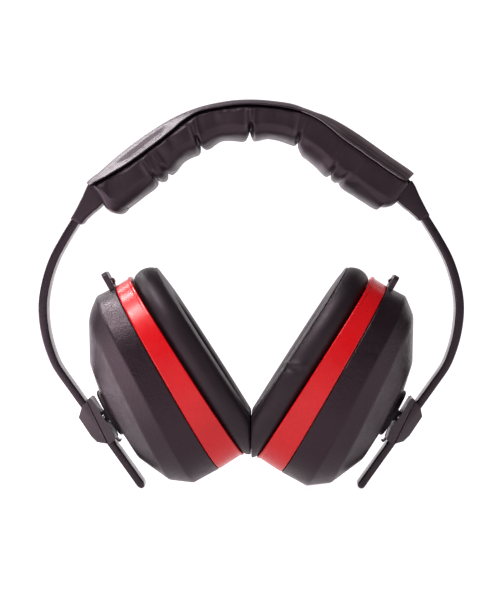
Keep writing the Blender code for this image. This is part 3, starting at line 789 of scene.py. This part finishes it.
def build_band():
    rows = []
    arm_len = ARM_TIP - ARM_STRAIGHT_TOP
    tip = CURVE_LENGTH + arm_len
    sig = list(np.linspace(-(tip - 2.2), tip - 2.2, 301))
    for i, s in enumerate(sig):
        th = band_thick(s)
        rows.append([band_pt(s, d, y) for d, y in rounded_rect(0, th, BAND_WIDTH / 2, 0.75, 4)])
    for sign, at in ((-1, 0), (1, len(rows))):
        caps = []
        for k in range(1, 8):
            a = math.pi / 2 * k / 7.0
            s = sign * (tip - 2.2 + 2.2 * math.sin(a))
            f = max(0.10, math.cos(a)) ** 0.8
            if sign < 0:
                f = max(0.30, 1 - 0.70 * (k / 7.0) ** 1.1)
            h = ARM_THICK / 2 * f
            caps.append([band_pt(s, d, y) for d, y in rounded_rect(ARM_THICK / 2 - h, ARM_THICK / 2 + h,
                                                                   BAND_WIDTH / 2 - 1.6 * (1 - math.cos(a)), min(0.75, h * 0.9), 4)])
        if sign < 0:
            rows = list(reversed(caps)) + rows
        else:
            rows = rows + caps
    return make("headband_band", grid_bm(rows, True, False, (True, True)), "band", "headband",
                ["headband_strip"], 60)


# lower edge of the padding and level of the side seam, as depths below the strip's outer face
def outline_depth(points):
    """Turn side-view (x, z) points into (sigma, depth) pairs on the band."""
    out = []
    for x, z in points:
        best = None
        for s in np.linspace(-PAD_END - 6, PAD_END + 6, 700):
            p, n = band_at(float(s))
            rel = Vector((x - p.x, z - p.y))
            along = abs(rel.x * n.y - rel.y * n.x)
            if best is None or along < best[0]:
                d = rel.dot(n)
                if d > -8:
                    best = (along, float(s), d)
        out.append((best[1], best[2]))
    out.sort()
    return out


FLAP_TOP = [(-79.4, 147.2), (-71.5, 153.3), (-63.8, 159.6), (-56.2, 166.1), (-48.5, 171.8), (-40.8, 176.6), (-33.1, 180.5),
            (-25.4, 183.4), (-17.8, 185.3), (-10.1, 186.6), (0.0, 187.15), (10.1, 186.5), (20.6, 184.8), (28.3, 181.9), (36.0, 179.3),
            (43.7, 175.4), (51.4, 170.6), (59.0, 165.3), (66.7, 159.8), (74.4, 154.6), (78.2, 151.7)]
SEAM = [(-78.4, 144.4), (-68.5, 151.0), (-58.4, 157.2), (-47.1, 165.5), (-39.2, 171.6), (-31.2, 178.2), (-25.8, 181.2),
        (-15.2, 183.6), (-4.5, 184.9), (10.7, 184.2), (20.3, 182.6), (29.4, 179.4), (37.4, 174.2), (44.3, 168.4),
        (53.4, 162.0), (64.0, 154.5), (72.0, 149.2), (75.3, 147.0)]
LOWER = [(-63.8, 131.4), (-60.0, 135.2), (-56.2, 137.9), (-52.3, 140.8), (-48.5, 143.6), (-40.8, 148.9), (-37.0, 152.6), (-33.1, 157.6),
         (-25.4, 161.6), (-21.6, 163.4), (-17.8, 165.8), (-13.9, 167.8), (-6.2, 167.9), (1.4, 168.0), (9.1, 168.8), (16.8, 167.0),
         (20.6, 165.4), (24.5, 161.0), (28.3, 158.0), (32.2, 154.6), (36.0, 150.4), (39.8, 147.7), (43.7, 144.8), (47.5, 142.8),
         (51.4, 140.4), (55.2, 138.4), (59.0, 136.5), (62.9, 134.4)]


def nearer(points, y):
    """Undo the perspective of an edge that stands y mm off the middle plane."""
    k = (1150.0 + y) / 1150.0
    return [(11.4 + (x - 11.4) * k, 117.0 + (z - 117.0) * k) for x, z in points]


FLAP_TOP = nearer(FLAP_TOP, -12.0)
SEAM = nearer(SEAM, -19.8)
FLAP_D = outline_depth(FLAP_TOP)
SEAM_D = outline_depth(SEAM)
LOWER_D = outline_depth(LOWER)


def seam_depth(s):
    return lerp_table(SEAM_D, s)


def flap_depth(s):
    return lerp_table(FLAP_D, s)


def lower_depth(s):
    return lerp_table(LOWER_D, s)


def build_sleeve_top():
    """Vinyl top of the sleeve: a flat tube over the strip, thicker where it stands off it."""
    rows = []
    s0, s1 = FLAP_D[0][0] - 0.2, FLAP_D[-1][0] + 0.2
    for k in range(241):
        f = k / 240
        s = s0 + (s1 - s0) * f
        top, low = min(flap_depth(s), -0.45), seam_depth(s) - 0.05
        low = max(low, top + 1.9)
        ripple = 0.12 * noise.noise(Vector((s * 0.13, 2.0, 0))) + 0.05 * noise.noise(Vector((s * 0.5, 7.0, 0)))
        half = 19.8 + 0.15 * noise.noise(Vector((s * 0.08, 4.0, 0)))
        row = []
        n_top = 72
        for i in range(n_top + 1):
            y = -half + 2 * half * i / n_top
            slope = max(0.0, (abs(y) - 10.5) / (half - 10.5))
            drop = (low - 0.55 - top) * slope ** 1.6
            stitch = 0.12 * math.exp(-((abs(y) - half + 2.6) / 0.45) ** 2)
            at = 0.50 + 0.10 * ease(-s, 44, 72)
            fold = (1.35 * ease(slope, at - 0.04, at + 0.03) * (1 - ease(slope, at + 0.12, 1.0))
                    * ease(s, -76, -66) * ease(-s, 40, 50) * (y < 0))
            row.append((top + drop + ripple * (0.3 + slope) + stitch + fold, y))
        for i in range(1, 5):
            a = math.pi * i / 5
            row.append((low - 0.55 + 0.275 * (1 - math.cos(a)), half + 0.25 * math.sin(a)))
        for i in range(n_top + 1):
            y = half - 2 * half * i / n_top
            row.append((low + 0.02 * math.cos(y), y))
        for i in range(1, 5):
            a = math.pi * i / 5
            row.append((low - 0.275 * (1 - math.cos(a)), -half - 0.25 * math.sin(a)))
        rows.append([band_pt(s, d, y) for d, y in row])
    make("headband_sleeve_fine", grid_bm(rows, True, False, (True, True)), "vinyl", "headband",
         ["headband_sleeve_top"], 45)
    # welded edge along the seam, front and back
    for tag, sign in (("front", -1), ("back", 1)):
        line = []
        for k in range(221):
            s = s0 + 1.0 + (s1 - s0 - 2.0) * k / 220
            wob = 0.10 * noise.noise(Vector((s * 0.21, sign * 3.0, 9.0)))
            line.append((s, seam_depth(s) - 0.15 + wob, sign * (19.85 + 0.5 * wob)))
        rows = []
        for k, (s, d, y) in enumerate(line):
            r = 0.42 * min(1.0, 0.25 + min(k, 220 - k) / 3.0)
            rows.append([band_pt(s, d + r * math.cos(a), y + r * math.sin(a)) for a in [2 * math.pi * i / 10 for i in range(10)]])
        make("headband_seam_" + tag, grid_bm(rows, True, False, (True, True)), "vinyl", "headband", (), 60)
    # thin real bead along the right part of the front seam; its lighter colour is a painted highlight
    rows = []
    p0, p1 = 24.0, s1 - 1.2
    for k in range(121):
        s = p0 + (p1 - p0) * k / 120
        r = 0.26 * min(1.0, 0.2 + min(k, 120 - k) / 8.0)
        wob = 0.10 * noise.noise(Vector((s * 0.21, -3.0, 9.0)))
        rows.append([band_pt(s, seam_depth(s) + 0.02 + wob + r * math.cos(a), -20.12 - 0.5 * wob + r * math.sin(a))
                     for a in [2 * math.pi * i / 10 for i in range(10)]])
    make("headband_seam_bead_highlight", grid_bm(rows, True, False, (True, True)), "seam_bead_highlight", "headband", (), 60)


CREASES = [  # (sigma, depth mm, width mm, lean along the section, reach up the side)
]


def crease_sigma(x, z):
    return outline_depth([(x, z)])[0][0]


def build_pad():
    n_s, n_u = 270, 100
    s0, s1 = -PAD_END - 0.8, PAD_END - 0.2
    # (place along the band, depth of the pinch, width, lean)
    marks = [(crease_sigma(-43.7, 146.0), 2.4, 1.0, 0.10), (crease_sigma(-39.4, 151.2), 2.0, 0.9, -0.06),
             (crease_sigma(-24.0, 163.6), 4.0, 1.15, 0.10), (crease_sigma(-0.5, 170.2), 4.8, 1.3, 0.02),
             (crease_sigma(21.6, 164.0), 3.2, 1.0, -0.12), (crease_sigma(37.4, 150.2), 2.2, 0.9, -0.10),
             (crease_sigma(42.6, 148.0), 1.2, 1.1, 0.25)]
    half = 19.5
    rows, holds = [], []
    for k in range(n_s + 1):
        f = k / n_s
        s = s0 + (s1 - s0) * f
        seam = seam_depth(s) + 0.08
        low = lower_depth(s)
        end = min(s - s0, s1 - s)
        rnd = 1.0
        if end < 4.0:
            rnd = math.sqrt(max(0.0, 1 - (1 - end / 4.0) ** 2.2))
        low_s = seam + (low - seam) * (0.62 + 0.38 * rnd)
        depth = low_s - seam
        # the ends lean outward, more towards the lower corner
        near_l, near_r = ease(1 - (s - s0) / 26.0), ease(1 - (s1 - s) / 26.0)
        row, hold = [], []
        for i in range(n_u):
            a = 2 * math.pi * i / n_u
            c, sn = math.cos(a), math.sin(a)
            square = 0.17 * ease(s, 18, 30)
            e1, e2 = (0.26 - square, 0.30 - square) if sn > 0 else (0.60, 0.64)
            y = half * math.copysign(abs(c) ** e1, c) * (0.88 + 0.12 * rnd)
            v = math.copysign(abs(sn) ** e2, sn)
            d = seam + depth * (0.5 - 0.5 * v)
            lowf = (d - seam) / depth
            pinch = swell = 0.0
            for cs, amp, wid, lean in marks:
                off = s - (cs + lean * (1 - lowf) * depth + 1.2 * noise.noise(Vector((y * 0.07, cs, 0.5))))
                fade = ease(lowf, -0.1, 0.95) ** 1.3
                pinch += amp * fade * math.exp(-(off / wid) ** 2)
                swell += 0.22 * amp * fade * (math.exp(-((off - 3.6) / 3.0) ** 2) + math.exp(-((off + 3.6) / 3.0) ** 2))
            line = 0.0
            for cs, amp, wid, lean in marks:
                off = s - (cs + lean * (1 - lowf) * depth + 1.2 * noise.noise(Vector((y * 0.07, cs, 0.5))))
                line += amp / 4.0 * (-0.75 * math.exp(-(off / 0.8) ** 2) + 0.34 * math.exp(-((off - 1.9) / 0.8) ** 2)
                                     + 0.34 * math.exp(-((off + 1.9) / 0.8) ** 2))
            y += math.copysign(line * ease(lowf, 0.04, 0.35) * ease(abs(c), 0.3, 0.9), c)
            d -= (pinch * 0.95 - swell * 0.6) * ease(lowf, 0.15, 0.9)
            y -= math.copysign((pinch * 0.34 - swell * 0.25) * ease(abs(c), 0.2, 0.9), c)
            lean_out = ease(lowf, 0.0, 1.0) * (7.0 * near_r - 8.0 * near_l)
            # soft ridge where the side turns under
            y += math.copysign(0.35 * math.exp(-((lowf - 0.60) / 0.07) ** 2) * ease(end, 2, 9), c) * (abs(c) > 0.4)
            row.append((s + lean_out, d, y))
            near = min(abs(s - (m[0] + m[3] * (1 - lowf) * depth)) for m in marks)
            h = 0.0
            if lowf < 0.09:
                h = 1.0
            elif near < 0.7:
                h = 0.7 * ease(lowf, 0.2, 0.7)
            if k in (0, n_s):
                h = 1.0
            hold.append(h)
        rows.append(row)
        holds.append(hold)
    pts = [[band_pt(s, d, y) for s, d, y in row] for row in rows]
    bm = grid_bm(pts, True, False, (True, True))
    bmesh.ops.recalc_face_normals(bm, faces=bm.faces)
    if bm.calc_volume(signed=True) < 0:
        bmesh.ops.reverse_faces(bm, faces=bm.faces)
    bmesh.ops.scale(bm, vec=(MM, MM, MM), verts=bm.verts)
    me = bpy.data.meshes.new("pad_work")
    bm.to_mesh(me)
    bm.free()
    work = bpy.data.objects.new("pad_work", me)
    scene.collection.objects.link(work)
    pin = {k * n_u + i: h for k, hold in enumerate(holds) for i, h in enumerate(hold) if h}
    inflate(work, pin, 2.2, 16, 0.0011, -0.014, 10.0, 2.5, (n_s + 1, n_u, 3))
    bpy.data.objects.remove(work)
    ob = finish_piece("headband_padding", me, "vinyl", "headband", ["headband_pad_cover", "headband_pad_foam"], 60)
    sub = ob.modifiers.new("smooth", "SUBSURF")
    sub.levels = sub.render_levels = 1
    return ob


def build_sleeve_end(side):
    sign = -1.0 if side == "L" else 1.0
    rows = []
    start, end = PAD_END - 0.6, TONGUE_END + (2.5 if side == "L" else 0.5)
    for k in range(61):
        f = k / 60
        s = start + (end - start) * f
        th = band_thick(s)
        deep = 11.2 - 5.2 * ease(f, 0.0, 0.98) - 0.3 * f
        half = 10.4 - 1.3 * f
        if f > 0.93:
            g = (f - 0.93) / 0.07
            deep -= 0.8 * g * g
            half -= 0.7 * g * g
        sag = 0.35 * math.sin(f * 5.0) + 0.25 * noise.noise(Vector((f * 6, sign * 3, 0)))
        rows.append([band_pt(sign * s, d, y) for d, y in
                     [(dd + sag * (dd > th), yy) for dd, yy in rounded_rect(-0.45, deep, half, 1.2, 5)]])
    return make("headband_sleeve_tail_" + side, grid_bm(rows, True, False, (True, True)), "vinyl", "headband",
                ["headband_sleeve_end_" + side], 50)


# ------------------------------------------------------------------ sliders and discs
PIN_AT = shell_pt(SEAT_S, 35.9, 0.0)
du_, dn_ = PIN_AT.x - ARM_ORIGIN[0], PIN_AT.z - ARM_ORIGIN[1]
PIN_U, PIN_N = sc * du_ - cc * dn_, cc * du_ + sc * dn_


def solid_from(points):
    bm = bmesh.new()
    for p in points:
        bm.verts.new(p)
    bmesh.ops.convex_hull(bm, input=bm.verts)
    loose = [v for v in bm.verts if not v.link_faces]
    bmesh.ops.delete(bm, geom=loose, context="VERTS")
    bmesh.ops.dissolve_limit(bm, angle_limit=math.radians(1.0), verts=bm.verts, edges=bm.edges)
    bmesh.ops.recalc_face_normals(bm, faces=bm.faces)
    return bm


def box_pts(place, a0, a1, b0, b1, y0, y1):
    return [place(a, b, y) for a in (a0, a1) for b in (b0, b1) for y in (y0, y1)]


def bm_object(name, bm):
    if bm.calc_volume(signed=True) < 0:
        bmesh.ops.reverse_faces(bm, faces=bm.faces)
    me = bpy.data.meshes.new(name)
    bm.to_mesh(me)
    bm.free()
    ob = bpy.data.objects.new(name, me)
    scene.collection.objects.link(ob)
    return ob


def carve(name, base, steps, bevel, segments=3, angle=30):
    """Boolean steps on a bmesh solid in millimetres, then a bevel; returns a bmesh."""
    ob = bm_object(name, base)
    tools = []
    for i, (op, bm) in enumerate(steps):
        t = bm_object("%s_tool%d" % (name, i), bm)
        tools.append(t)
        m = ob.modifiers.new("b%d" % i, "BOOLEAN")
        m.operation = op
        m.solver = "EXACT"
        m.object = t
    if bevel:
        b = ob.modifiers.new("bevel", "BEVEL")
        b.width = bevel
        b.segments = segments
        b.limit_method = "ANGLE"
        b.angle_limit = math.radians(angle)
        b.harden_normals = False
    bpy.context.view_layer.update()
    me = bpy.data.meshes.new_from_object(ob.evaluated_get(bpy.context.evaluated_depsgraph_get()))
    out = bmesh.new()
    out.from_mesh(me)
    for o in tools + [ob]:
        bpy.data.objects.remove(o, do_unlink=True)
    return out


def cyl_bm(centre, direction, radius, length, segs=48):
    bm = bmesh.new()
    bmesh.ops.create_cone(bm, cap_ends=True, segments=segs, radius1=radius, radius2=radius, depth=length)
    turn = Vector((0, 0, 1)).rotation_difference(Vector(direction)).to_matrix().to_4x4()
    bmesh.ops.transform(bm, matrix=Matrix.Translation(Vector(centre)) @ turn, verts=bm.verts)
    return bm


def prism_bm(outline, half, place, y_mid=0.0):
    return grid_bm([[place(a, b, y_mid - half) for a, b in outline], [place(a, b, y_mid + half) for a, b in outline]],
                   True, False, (True, True))


def build_slider(side):
    hw = 11.0
    cover_side = [(6.1, 4.5), (6.8, 0.9), (27.6, 0.3), (28.4, 0.6)]
    pts = [arm_pt(u, n, y) for u, n in cover_side for y in (-hw, hw)]
    out = 0.9 if side == "L" else 0.0
    pts += [arm_pt(u, n - out, y) for u, n in ((10.1, -2.75), (21.0, -3.1), (24.9, -2.4)) for y in (-hw + 2.6, hw - 2.6)]
    base = solid_from(pts)
    chan = solid_from(box_pts(arm_pt, -10, 60, -0.3, 3.95, -8.3, 8.3))
    cover = carve("cover", base, [("DIFFERENCE", chan)], 0.45, 3, 20)
    make("slider_cover_fine_" + side, cover, "slider", "slider_" + side, ["slider_cover_" + side], 40, side)
    body_side = [(28.9, 0.9), (29.0, 4.4), (28.7, 5.2), (23.0, 6.5), (16.8, 6.2), (6.3, 6.85), (5.4, 6.2), (5.7, 4.8)]
    steps = [("DIFFERENCE", solid_from(box_pts(arm_pt, -10, 60, -0.3, 3.95, -8.3, 8.3)))]
    for y in (-6.6, 6.6):
        steps.append(("DIFFERENCE", solid_from(box_pts(arm_pt, PIN_U - 3.5, PIN_U + 3.5, 3.0, 12.0, y - 1.65, y + 1.65))))
    barrel = [(PIN_U + 1.95 * math.cos(a), PIN_N + 1.95 * math.sin(a)) for a in [math.pi * k / 24 for k in range(25)]]
    barrel += [(PIN_U - 2.9, 4.6), (PIN_U + 2.9, 4.6)]
    steps.append(("UNION", prism_bm(barrel, 4.6, arm_pt)))
    hook = [(28.4, 4.3), (30.9, 4.7), (31.4, 5.3), (31.2, 6.1), (30.4, 6.2), (30.2, 5.4), (28.4, 5.3)]
    steps.append(("UNION", prism_bm(hook, 3.2, arm_pt)))
    body = carve("body", prism_bm(body_side, hw, arm_pt), steps, 0.3, 2, 30)
    make("slider_body_fine_" + side, body, "slider", "slider_" + side, ["slider_body_" + side], 40, side)


def build_disc(side):
    prof = [(3.2, 25.2), (3.2, 28.9), (4.7, 28.9), (4.7, 31.3), (12.2, 31.3), (12.2, 33.0), (11.6, 33.6), (9.2, 33.6),
            (8.8, 33.3), (0.02, 33.3)]
    cols = []
    for i in range(96):
        th = 2 * math.pi * i / 96
        line = [circle_pt(0.02, 25.2, th)] + [circle_pt(r, t, th) for r, t in prof]
        cols.append(fillet(line, [0, 0.3, 0.1, 0.1, 0.1, 0.25, 0.4, 0.4, 0.25, 0.2, 0], 3))
    bm = grid_bm(list(zip(*cols)), True, False, (True, True))
    make("swivel_disc_fine_" + side, bm, "hub", "pivot_" + side, ["swivel_disc_" + side], None, side)
    for tag, y in (("front", -6.6), ("back", 6.6)):
        out = [(SEAT_S + 3.4, 33.2), (SEAT_S + 2.6, 34.2)] \
            + [(SEAT_S + 2.0 * math.cos(a), 35.9 + 2.0 * math.sin(a)) for a in [math.pi * k / 20 for k in range(21)]] \
            + [(SEAT_S - 2.6, 34.2), (SEAT_S - 3.4, 33.2)]
        lug = carve("lug", prism_bm(out, 1.3, shell_pt, y), [("DIFFERENCE", cyl_bm(PIN_AT, (0, 1, 0), 1.1, 30))], 0.22, 2, 35)
        make("hinge_lug_%s_%s" % (tag, side), lug, "hub", "pivot_" + side, (), 35, side)
    # the pin, with rounded ends
    rows = []
    for y, r in ((-8.15, 0.3), (-8.1, 0.75), (-7.9, 0.98), (-7.7, 1.05), (7.7, 1.05), (7.9, 0.98), (8.1, 0.75), (8.15, 0.3)):
        rows.append([PIN_AT + Vector((r * math.cos(a), y, r * math.sin(a))) for a in [2 * math.pi * k / 32 for k in range(32)]])
    make("hinge_pin_" + side, grid_bm(rows, True, False, (True, True)), "steel", "pivot_" + side, ["tilt_pin_" + side], 50, side)


def build_liner(side):
    """Acoustic foam: a soft-edged block with a hollowed, uneven front."""
    angles = even_angles(120, 45.0, 34.0, 2.6)
    rows = []
    for a, t in ((45.0, 15.0), (45.3, 9.0), (45.3, 2.5), (44.6, 0.9), (43.0, 0.35)):
        w = a - 10.9
        if t > 10:
            a, w = 39.0, 28.2
        rows.append([shell_pt(*(lambda o: (o[0], t, o[1]))(oval_at(th, a, a, w, 2.6))) for th in angles])
    for k in range(1, 26):
        f = 1 - k / 26
        row = []
        for th in angles:
            s, y, _ = oval_at(th, 43.0 * f, 43.0 * f, 32.1 * f, 2.6 - 0.5 * (1 - f))
            t = 0.35 + 3.2 * (1 - f * f) + 0.35 * noise.noise(Vector((s * 0.25, y * 0.25, 1.0))) \
                + 0.18 * noise.noise(Vector((s * 0.8, y * 0.8, 5.0)))
            row.append(shell_pt(s, t, y))
        rows.append(row)
    bm = grid_bm(rows, True, False, (True, True))
    ob = make("acoustic_foam_" + side, bm, "liner", "cup_" + side, ["foam_liner_" + side], 50, side)
    return ob


# ------------------------------------------------------------------ build everything
build_band()
build_sleeve_top()
build_pad()
for side in "LR":
    build_sleeve_end(side)
    build_shell(side)
    build_strap_loop(side)
    build_ring(side)
    build_cushion(side)
    build_slider(side)
    build_disc(side)
    build_liner(side)
    for node, mat in (("cushion_plate_", "plate"), ("hub_retainer_", "steel"), ("slider_spring_", "steel")):
        o = NODES[node + side]
        o.data.materials.clear()
        o.data.materials.append(MAT[mat])
        if node == "cushion_plate_":
            o.data.shade_smooth()
            o.data.set_sharp_from_angle(angle=math.radians(30))

# ------------------------------------------------------------------ stage: a pale floor that curves up behind
def build_stage():
    rows = []
    for x in (-3.0, 3.0):
        line = [Vector((x, -2.2, 0.0)), Vector((x, 1.2, 0.0))]
        for k in range(1, 17):
            a = math.pi / 2 * k / 16
            line.append(Vector((x, 1.2 + 0.9 * math.sin(a), 0.9 * (1 - math.cos(a)))))
        line.append(Vector((x, 2.1, 3.2)))
        rows.append(line)
    bm = grid_bm(rows, False, False)
    bmesh.ops.recalc_face_normals(bm, faces=bm.faces)
    me = bpy.data.meshes.new("backdrop")
    bm.to_mesh(me)
    bm.free()
    me.shade_smooth()
    m = Nodes("backdrop_paper_glow")
    r = m.ramp(m.noise(0.004, 2.0).outputs["Fac"], [(0.3, (0.19, 0.19, 0.192)), (0.7, (0.21, 0.21, 0.21))])
    m.link(r.outputs["Color"], m.shader.inputs["Base Color"])
    m.shader.inputs["Roughness"].default_value = 0.9
    m.shader.inputs["Specular IOR Level"].default_value = 0.1
    # the floor glows as painted light: evenly, with a stronger glow on the left of the floor and a weaker one high up
    # at the back
    sep = m.new("ShaderNodeSeparateXYZ")
    m.link(m.coord.outputs["Object"], sep.inputs["Vector"])
    near = m.math("SUBTRACT", 1.0, m.range(sep.outputs["Y"], 0.0, 1.0, 0.3, 0.9), True)
    left = m.math("MULTIPLY", m.range(sep.outputs["X"], 1.0, 0.0, -0.17, -0.09), near)
    high = m.range(sep.outputs["Z"], 0.0, 1.0, 0.75, 1.25)
    glow = m.math("ADD", m.math("MULTIPLY", left, 2.1), m.math("SUBTRACT", 1.08, m.math("MULTIPLY", near, 0.03)))
    m.link(m.math("SUBTRACT", glow, m.math("MULTIPLY", high, 0.70)), m.shader.inputs["Emission Strength"])
    # the painted glow is tinted pink, more so on the left, so the dark parts reflect pinkish light
    tint = m.ramp(left, [(0.0, (1.0, 0.93, 0.965)), (1.0, (1.0, 0.84, 0.94))])
    m.link(tint.outputs["Color"], m.shader.inputs["Emission Color"])
    me.materials.append(m.mat)
    ob = bpy.data.objects.new("backdrop", me)
    scene.collection.objects.link(ob)


build_stage()

# ------------------------------------------------------------------ light
world = bpy.data.worlds.new("world")
scene.world = world
world.use_nodes = True
bg = world.node_tree.nodes["Background"]
bg.inputs["Color"].default_value = (1.0, 1.0, 1.0, 1.0)
bg.inputs["Strength"].default_value = 0.10


def area(name, at, to, size, power, colour=(1, 1, 1)):
    d = bpy.data.lights.new(name, "AREA")
    d.shape = "RECTANGLE"
    d.size, d.size_y = size
    d.energy = power
    d.color = colour
    o = bpy.data.objects.new(name, d)
    o.location = at
    o.rotation_euler = (Vector(to) - Vector(at)).to_track_quat("-Z", "Y").to_euler()
    scene.collection.objects.link(o)


area("key", (-0.52, -0.56, 0.96), (0, 0, 0.09), (0.40, 0.34), 14.0)
area("key_top", (-0.55, 0.22, 1.06), (-0.03, 0, 0.10), (0.30, 0.34), 15.0)
area("rim", (-0.64, 0.62, 0.84), (-0.04, 0, 0.13), (0.40, 0.40), 6.0)
area("rim_low", (-0.95, 0.15, 0.55), (-0.05, 0, 0.09), (0.25, 0.35), 3.5)
area("rim_right", (0.72, 0.60, 0.86), (0.05, 0, 0.13), (0.35, 0.35), 1.2, (1.0, 0.80, 0.84))
area("fill", (0.95, -0.95, 0.30), (0, 0, 0.09), (0.3, 0.6), 0.6)
scene.view_settings.view_transform = "Standard"
